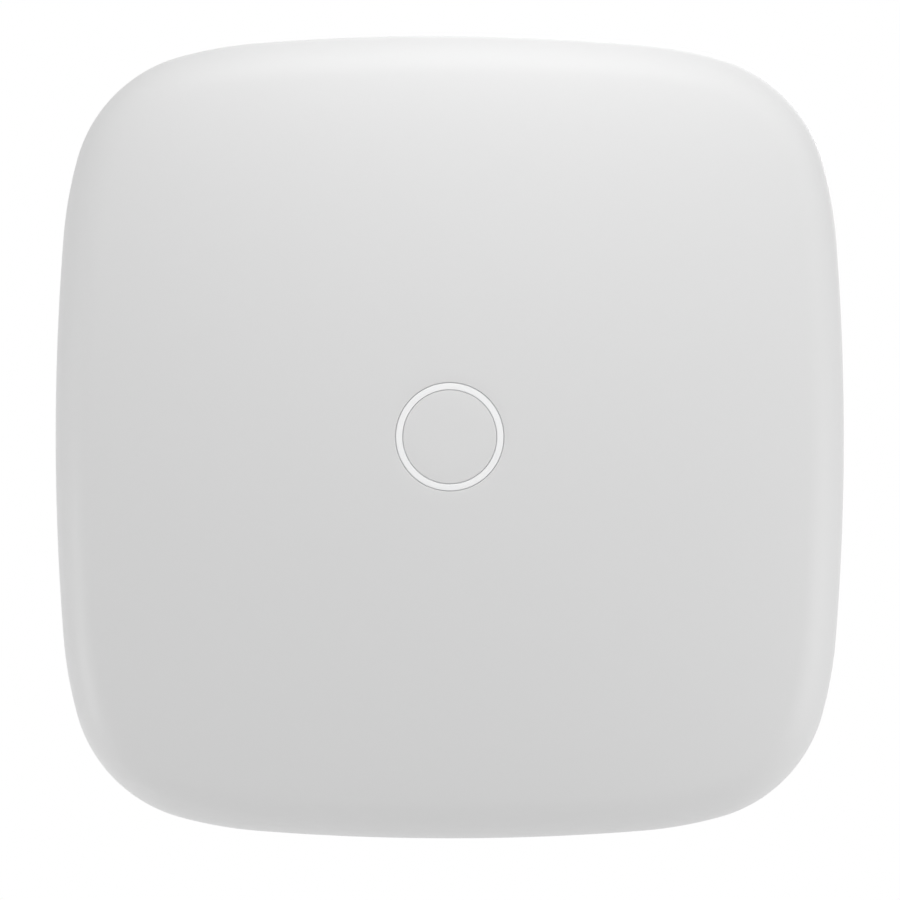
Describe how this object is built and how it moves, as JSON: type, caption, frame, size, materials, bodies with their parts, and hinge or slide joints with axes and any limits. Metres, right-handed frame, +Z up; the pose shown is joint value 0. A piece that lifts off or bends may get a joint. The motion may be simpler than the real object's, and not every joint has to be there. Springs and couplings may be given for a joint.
{
  "type": "alarm control panel",
  "caption": "Wall-hung alarm control panel: a softly domed white case that slides onto hooks of a flat wall bracket, with sockets in a bay at its back.",
  "frame": {"origin": "centre of the bracket's wall plane, level with the middle of the panel", "axes": "+Y into the wall, +Z up the wall, +X to the right as seen from the front, which faces -Y"},
  "size_m": [0.163, 0.036, 0.166],
  "materials": {
    "case_white": "fine satin moulding texture",
    "bracket_white": "moulded, slightly rougher",
    "lens": "milky light guide",
    "black_plastic": "moulded",
    "button_grey": "moulded",
    "led": "clear resin",
    "board_green": "solder resist",
    "steel": "tinned or zinc-plated",
    "brass": "plated",
    "battery_wrap": "foil pouch",
    "foam": "closed-cell foam",
    "lead_red": "insulation",
    "ferrite": "ferrite and varnished tape",
    "can_blue": "sleeved can",
    "copper": "enamelled winding",
    "film": "insulating film"
  },
  "bodies": {
    "bracket": {"mounting_bracket": "bracket_white", "bracket_hooks": "bracket_white"},
    "hub": {"front_cover": "case_white", "face_disc": "case_white", "light_ring_lens": "lens", "light_baffle": "black_plastic", "status_leds": "led", "rear_housing": "bracket_white", "case_screws": "steel", "main_board": "board_green", "main_board_screws": "steel", "mains_board": "board_green", "mains_board_screws": "steel", "mains_inlet": "black_plastic", "inlet_pins": "brass", "lan_jack_shell": "steel", "lan_jack_insert": "black_plastic", "lan_jack_contacts": "brass", "sim_holder_base": "black_plastic", "sim_holder_shell": "steel", "cable_clamp": "bracket_white", "clamp_screws": "steel", "power_switch": "black_plastic", "tamper_spring": "steel", "tamper_switch": "black_plastic", "battery_cell": "battery_wrap", "battery_pad": "foam", "battery_header": "bracket_white", "battery_lead": "lead_red", "transformer": "ferrite", "input_capacitors": "can_blue", "output_capacitors": "can_blue", "fuse": "ferrite", "choke": "copper", "rectifier": "black_plastic", "mains_insulator": "film", "board_divider": "film", "modem_shield": "steel", "radio_shield": "steel", "processor": "black_plastic", "lan_magnetics": "black_plastic", "radio_antenna_left": "steel", "radio_antenna_right": "steel", "mains_side_header": "bracket_white", "main_side_header": "bracket_white", "dc_harness": "lead_red"},
    "power_button": {"power_button_cap": "button_grey", "power_switch_actuator": "button_grey"},
    "tamper": {"tamper_plunger": "button_grey"}
  },
  "joints": [
    {"name": "hub_slide", "type": "slide", "parent": "bracket", "child": "hub", "axis": [0, 0, 1], "range_m": [0, 0.012]},
    {"name": "power_button_press", "type": "slide", "parent": "hub", "child": "power_button", "axis": [0, -1, 0], "range_m": [0, 0.0008], "stiffness_N_per_m": 400, "springref_m": -0.0005},
    {"name": "tamper_travel", "type": "slide", "parent": "hub", "child": "tamper", "axis": [0, 1, 0], "range_m": [0, 0.0015], "deforming": ["tamper_spring"]}
  ],
  "couplings": [
    {"joint": "tamper_travel", "follows": "hub_slide", "ratio": 0.125}
  ]
}
